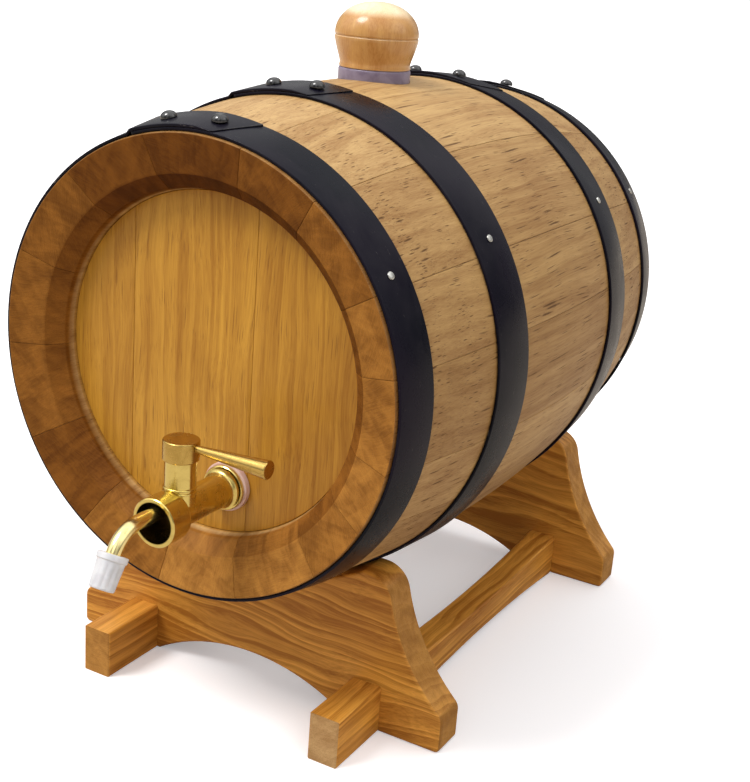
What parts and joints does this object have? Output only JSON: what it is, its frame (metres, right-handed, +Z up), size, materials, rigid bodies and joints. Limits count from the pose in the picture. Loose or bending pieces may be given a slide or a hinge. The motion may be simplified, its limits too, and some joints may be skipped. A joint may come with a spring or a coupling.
{
  "type": "oak cask with tap and cradle",
  "caption": "Small coopered oak cask for ageing wine or spirits, with steel hoops, a knobbed stopper and a brass tap, lying on a wooden cradle.",
  "frame": {"origin": "on the ground, at the centre of the whole assembly's footprint; the middle of the cask is 17.1 mm behind it", "axes": "+Z up, -Y towards the tap end, +X to the right of someone facing the tap; the cask's axis is parallel to Y"},
  "size_m": [0.2, 0.349, 0.2852],
  "materials": {
    "stave_oak": "satin, pale honey oak with open pores",
    "head_oak": "satin, golden oak",
    "stand_wood": "satin, warm brown stained wood",
    "knob_wood": "clear varnish over turned pale wood",
    "hoop_steel": "blue-black satin",
    "rivet_black": "gloss black",
    "plated_steel": "bright zinc plate",
    "brass": "polished",
    "washer_silicone": "matte, pinkish white",
    "stopper_silicone": "satin, translucent lilac grey",
    "cap_plastic": "soft translucent white"
  },
  "bodies": {
    "stand": {"front_cradle": "stand_wood", "rear_cradle": "stand_wood", "left_stretcher": "stand_wood", "right_stretcher": "stand_wood", "lap_screws": "plated_steel"},
    "cask": {"stave_01": "stave_oak", "stave_02": "stave_oak", "stave_03": "stave_oak", "stave_05": "stave_oak", "stave_06": "stave_oak", "stave_07": "stave_oak", "stave_08": "stave_oak", "stave_09": "stave_oak", "stave_10": "stave_oak", "stave_11": "stave_oak", "stave_12": "stave_oak", "stave_13": "stave_oak", "stave_14": "stave_oak", "stave_15": "stave_oak", "stave_bung": "stave_oak", "front_head_board_1": "head_oak", "front_head_board_2": "head_oak", "front_head_board_3": "head_oak", "rear_head_board_1": "head_oak", "rear_head_board_2": "head_oak", "rear_head_board_3": "head_oak", "hoop_1": "hoop_steel", "hoop_2": "hoop_steel", "hoop_3": "hoop_steel", "hoop_4": "hoop_steel", "hoop_rivets": "rivet_black", "hoop_nails": "plated_steel", "tap_body": "brass", "tap_washer": "washer_silicone", "tap_gasket": "washer_silicone", "tap_nut": "brass", "tap_gland": "brass", "tap_seal": "washer_silicone", "tap_spout": "brass"},
    "bung": {"bung_stopper": "stopper_silicone", "bung_knob": "knob_wood"},
    "tap_valve": {"tap_plug": "brass", "tap_cap": "brass", "tap_lever": "brass"},
    "tip_cap": {"spout_cap": "cap_plastic"}
  },
  "joints": [
    {"name": "cask_lift", "type": "slide", "parent": "stand", "child": "cask", "axis": [0, 0, 1], "range_m": [0, 0.1]},
    {"name": "bung_pull", "type": "slide", "parent": "cask", "child": "bung", "axis": [0, 0, 1], "range_m": [0, 0.04]},
    {"name": "tap_turn", "type": "hinge", "parent": "cask", "child": "tap_valve", "pos_m": [0.011, -0.1282, 0.1084], "axis": [0, 0, 1], "range_deg": [-90, 0]},
    {"name": "tip_cap_pull", "type": "slide", "parent": "cask", "child": "tip_cap", "axis": [0, -0.5, -0.866], "range_m": [0, 0.015]}
  ]
}
